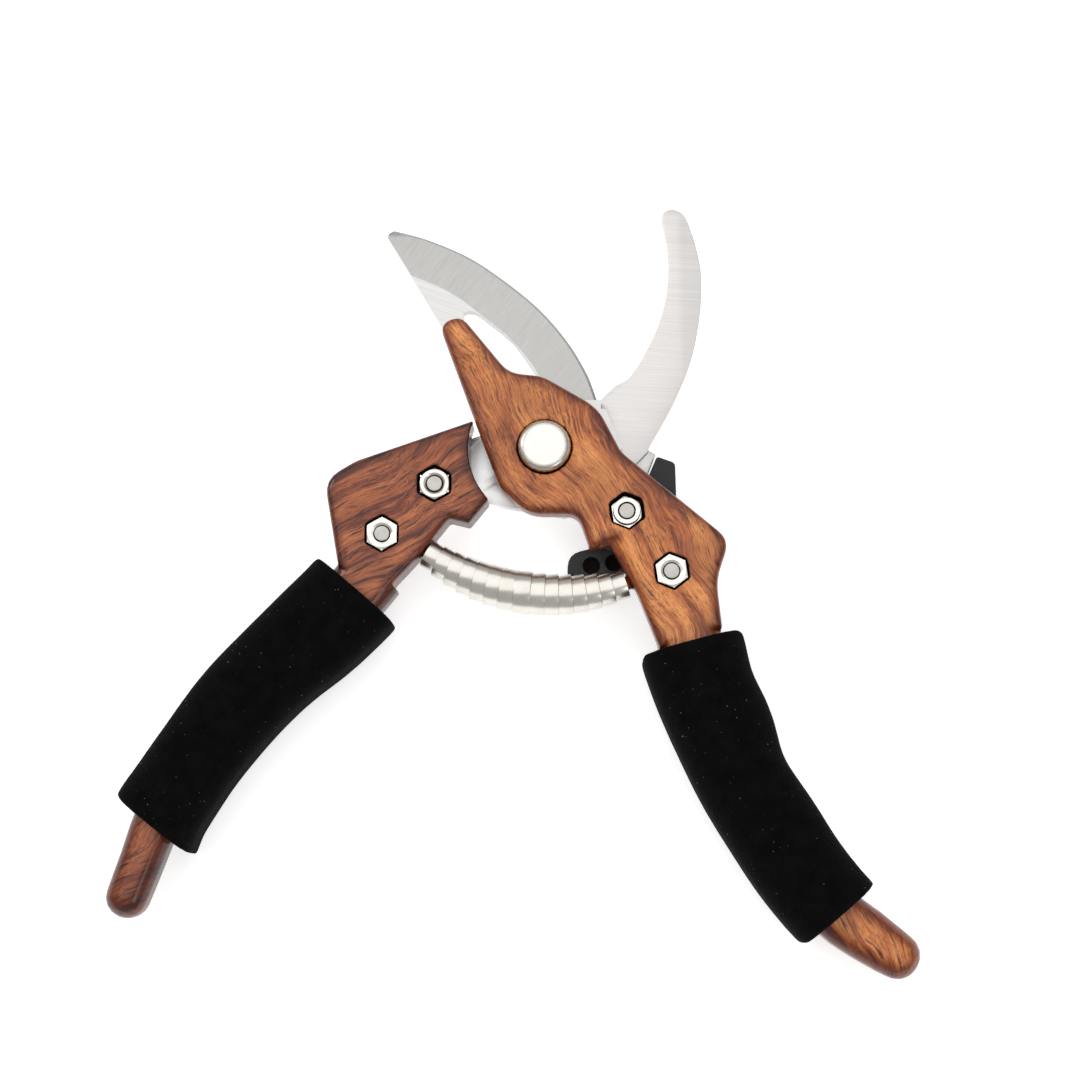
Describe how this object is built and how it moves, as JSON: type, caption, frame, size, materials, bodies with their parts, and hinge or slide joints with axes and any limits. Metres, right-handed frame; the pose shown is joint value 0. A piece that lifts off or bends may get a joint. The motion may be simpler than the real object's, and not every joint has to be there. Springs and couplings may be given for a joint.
{
  "type": "pruning shears",
  "caption": "Hand pruning shears with a curved bypass blade, hook, volute spring, thumb latch and foam-sleeved handles.",
  "frame": {"origin": "on the pivot axis, in the plane where the blade slides past the hook", "axes": "+Z along the pivot, out of the domed bolt head; +Y from the pivot towards the jaws; +X towards the handle that carries the blade"},
  "size_m": [0.1868, 0.1857, 0.022],
  "materials": {
    "wood_print": "gloss",
    "blade_steel": "satin",
    "hook_steel": "satin",
    "plated_steel": "gloss",
    "foam": "matte",
    "latch_nylon": "matte"
  },
  "bodies": {
    "blade_half": {"right_handle": "wood_print", "blade": "blade_steel", "right_grip": "foam", "blade_bolt": "plated_steel", "blade_nut": "plated_steel", "latch_washer": "plated_steel", "latch_bolt": "plated_steel", "latch_nut": "plated_steel", "pivot_bolt": "plated_steel", "pivot_washer": "plated_steel", "pivot_nut": "plated_steel", "spring": "plated_steel"},
    "hook_half": {"left_handle": "wood_print", "hook": "hook_steel", "left_grip": "foam", "hook_bolt_upper": "plated_steel", "hook_nut_upper": "plated_steel", "hook_bolt_lower": "plated_steel", "hook_nut_lower": "plated_steel"},
    "latch": {"latch": "latch_nylon"}
  },
  "joints": [
    {"name": "cut", "type": "hinge", "parent": "blade_half", "child": "hook_half", "pos_m": [0, 0, 0], "axis": [0, 0, 1], "range_deg": [0, 60], "stiffness_Nm_per_rad": 0.6, "deforming": ["spring"]},
    {"name": "latch_turn", "type": "hinge", "parent": "blade_half", "child": "latch", "pos_m": [0.0194, -0.0155, 0], "axis": [0, 0, 1], "range_deg": [-14, 0]}
  ]
}
